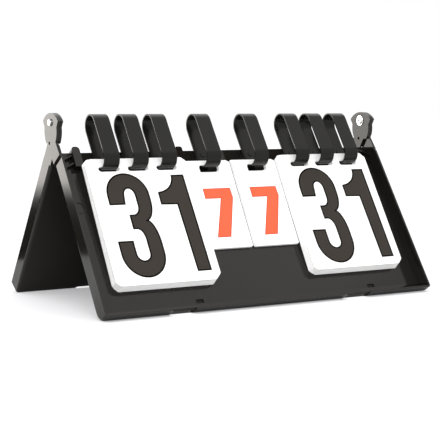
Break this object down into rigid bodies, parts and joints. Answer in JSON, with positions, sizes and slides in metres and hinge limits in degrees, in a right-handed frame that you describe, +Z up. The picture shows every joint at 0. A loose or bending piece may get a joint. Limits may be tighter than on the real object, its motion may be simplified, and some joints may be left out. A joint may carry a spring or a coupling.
{
  "type": "tabletop flip scoreboard",
  "caption": "Folding tabletop flip scoreboard: two riveted plastic trays standing as an A-frame, with numbered card packs on strap loops.",
  "frame": {"origin": "on the table, midway across the width and midway between the front and rear tips of the standing A-frame", "axes": "+X to the reader's right along the hinge line, -Y out of the numbered front, +Z up"},
  "size_m": [0.3874, 0.2384, 0.1904],
  "materials": {
    "tray_plastic": "semi-gloss black injection moulded ABS",
    "strap_plastic": "satin black flexible strap",
    "card_sheet": "smooth white plastic sheet",
    "rivet_metal": "bright nickel plate"
  },
  "bodies": {
    "front": {"front_tray": "tray_plastic", "ring_1": "strap_plastic", "ring_2": "strap_plastic", "ring_3": "strap_plastic", "ring_4": "strap_plastic", "ring_5": "strap_plastic", "ring_6": "strap_plastic", "ring_7": "strap_plastic", "ring_8": "strap_plastic", "ring_rivets": "strap_plastic", "hinge_rivet_left": "rivet_metal", "hinge_rivet_right": "rivet_metal", "hinge_washer_left": "rivet_metal", "hinge_washer_right": "rivet_metal", "score_stack_left": "card_sheet", "score_stack_right": "card_sheet", "set_stack_left": "card_sheet", "set_stack_right": "card_sheet"},
    "lid": {"rear_lid": "tray_plastic"},
    "score_card_left": {"score_card_left": "card_sheet"},
    "score_card_right": {"score_card_right": "card_sheet"},
    "set_card_left": {"set_card_left": "card_sheet"},
    "set_card_right": {"set_card_right": "card_sheet"}
  },
  "joints": [
    {"name": "lid_fold", "type": "hinge", "parent": "front", "child": "lid", "pos_m": [0, 0.00021, 0.1809], "axis": [1, 0, 0], "range_deg": [0, 292]},
    {"name": "score_card_left_flip", "type": "hinge", "parent": "front", "child": "score_card_left", "pos_m": [0, -0.02532, 0.146], "axis": [1, 0, 0], "range_deg": [-90, 0]},
    {"name": "score_card_right_flip", "type": "hinge", "parent": "front", "child": "score_card_right", "pos_m": [0, -0.02532, 0.146], "axis": [1, 0, 0], "range_deg": [-90, 0]},
    {"name": "set_card_left_flip", "type": "hinge", "parent": "front", "child": "set_card_left", "pos_m": [0, -0.02532, 0.146], "axis": [1, 0, 0], "range_deg": [-90, 0]},
    {"name": "set_card_right_flip", "type": "hinge", "parent": "front", "child": "set_card_right", "pos_m": [0, -0.02532, 0.146], "axis": [1, 0, 0], "range_deg": [-90, 0]}
  ]
}
